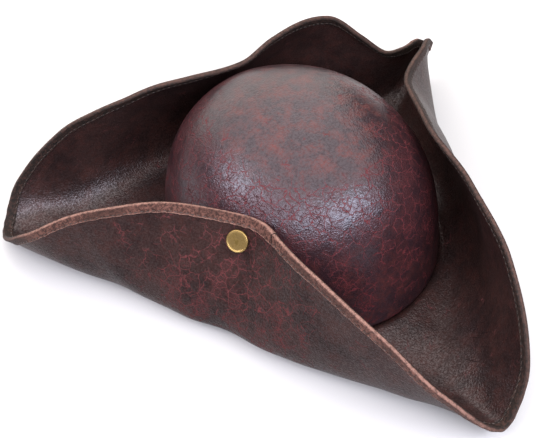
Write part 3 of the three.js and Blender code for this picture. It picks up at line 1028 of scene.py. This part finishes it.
# Softboxes of the studio, each facing the crown
# name, width and depth in metres, azimuth from the hat's front, height above the horizon,
# distance in metres, brightness as a share of the setting, colour
SOFTBOXES = (
    ("overhead", 2.6, 2.6, 0, 90, 1.15, 1.1, "#fff9f3"),
    ("front", 1.2, 0.35, 2, 40, 1.3, 7.5, "#eaecfb"),
    ("front left", 0.9, 0.30, -58, 42, 1.3, 3.2, "#eaecfb"),
    ("left", 0.6, 0.35, -113, 38, 1.3, 6.6, "#f2ecf6"),
    ("back", 2.4, 1.1, 165, 24, 1.7, 0.9, "#fff9f0"),
)


def direction_to(azimuth, height):
    """The direction from the hat at an azimuth from its front and a height, in radians."""
    flat = math.cos(height)
    return Vector((math.sin(azimuth) * flat, -math.cos(azimuth) * flat, math.sin(height)))


class TRICORN_OT_stage(bpy.types.Operator):
    """Adds the pale floor, the white surroundings, the softboxes and the camera"""

    bl_idname = "tricorn.stage"
    bl_label = "Studio"

    def execute(self, context):
        settings = context.scene.tricorn.stage
        self.add_floor(settings)
        self.add_surroundings(context, settings)
        for softbox in SOFTBOXES:
            self.add_softbox(settings.softbox_radiance, *softbox)
        self.add_camera(context)
        context.scene.view_settings.view_transform = "Standard"
        return {"FINISHED"}

    @staticmethod
    def add_floor(settings):
        half = FLOOR_SIDE / 2
        corners = [(-half, -half, 0), (half, -half, 0), (half, half, 0), (-half, half, 0)]
        mesh = bpy.data.meshes.new("floor")
        mesh.from_pydata(corners, [], [(0, 1, 2, 3)])
        mesh.materials.append(studio_floor("Matt white paper", settings.floor))
        floor = bpy.data.objects.new("floor", mesh)
        bpy.context.collection.objects.link(floor)

    @staticmethod
    def add_surroundings(context, settings):
        world = bpy.data.worlds.new("White surroundings")
        world.use_nodes = True
        background = world.node_tree.nodes["Background"]
        background.inputs["Color"].default_value = (1, 1, 1, 1)
        background.inputs["Strength"].default_value = settings.daylight
        context.scene.world = world

    @staticmethod
    def add_softbox(radiance, name, width, depth, azimuth, height, away, share, tint):
        """A softbox that faces the crown. Azimuth 0 is in front of the hat, height 90 overhead."""
        light = bpy.data.lights.new(name, "AREA")
        light.shape = "RECTANGLE"
        light.size = width
        light.size_y = depth
        light.energy = math.pi * radiance * share * width * depth
        light.color = linear(tint)
        softbox = bpy.data.objects.new(name, light)
        bpy.context.collection.objects.link(softbox)
        aim = Vector(SEAM_CENTRE) + Vector((0, 0, 50 * MM))
        way = direction_to(math.radians(azimuth), math.radians(height))
        softbox.location = aim + way * away
        softbox.rotation_euler = way.to_track_quat("Z", "Y").to_euler()

    @staticmethod
    def add_camera(context):
        """The photo's camera: to the left of the front tip, half way up, and turned a little."""
        azimuth = math.radians(-31.95)
        height = math.radians(45.25)
        roll = math.radians(-2.48)
        # Distance from the seam's centre, and how far that lies off the picture's middle
        away = 948.9 * MM
        to_right = -17.28 * MM
        upwards = 7.0 * MM
        # The focal length and the picture's width, in pixels
        focal_pixels = 1400
        picture_width = 550
        back = direction_to(azimuth, height)
        level = Vector((math.cos(azimuth), math.sin(azimuth), 0))
        upright = back.cross(level)
        right = math.cos(roll) * level + math.sin(roll) * upright
        top = -math.sin(roll) * level + math.cos(roll) * upright
        camera = bpy.data.cameras.new("camera")
        camera.sensor_width = 36
        camera.lens = camera.sensor_width * focal_pixels / picture_width
        photo_camera = bpy.data.objects.new("camera", camera)
        bpy.context.collection.objects.link(photo_camera)
        place = Vector(SEAM_CENTRE) + to_right * right + upwards * top + away * back
        turned = Matrix((right, top, back)).transposed().to_4x4()
        photo_camera.matrix_world = Matrix.Translation(place) @ turned
        context.scene.camera = photo_camera


class TRICORN_PT_panel(bpy.types.Panel):
    """Sizes and colours of the hat, with the button that builds each piece"""

    bl_label = "Tricorn Hat"
    bl_idname = "TRICORN_PT_panel"
    bl_space_type = "VIEW_3D"
    bl_region_type = "UI"
    bl_category = "Tricorn"

    def draw(self, context):
        for part in ("crown", "brim", "tape", "rivet", "stage"):
            box = self.layout.box()
            settings = getattr(context.scene.tricorn, part)
            for name in settings.__annotations__:
                box.prop(settings, name)
            box.operator(f"tricorn.{part}")


CLASSES = (
    CrownSettings, BrimSettings, TapeSettings, RivetSettings, StageSettings, TricornSettings,
    TRICORN_OT_crown, TRICORN_OT_brim, TRICORN_OT_tape, TRICORN_OT_rivet, TRICORN_OT_stage,
    TRICORN_PT_panel,
)


def register():
    for cls in CLASSES:
        bpy.utils.register_class(cls)
    bpy.types.Scene.tricorn = PointerProperty(type=TricornSettings)


def unregister():
    del bpy.types.Scene.tricorn
    for cls in reversed(CLASSES):
        bpy.utils.unregister_class(cls)


def main():
    register()
    bpy.ops.tricorn.crown()
    bpy.ops.tricorn.brim()
    bpy.ops.tricorn.tape()
    bpy.ops.tricorn.rivet()
    bpy.ops.tricorn.stage()


if __name__ == "__main__":
    main()
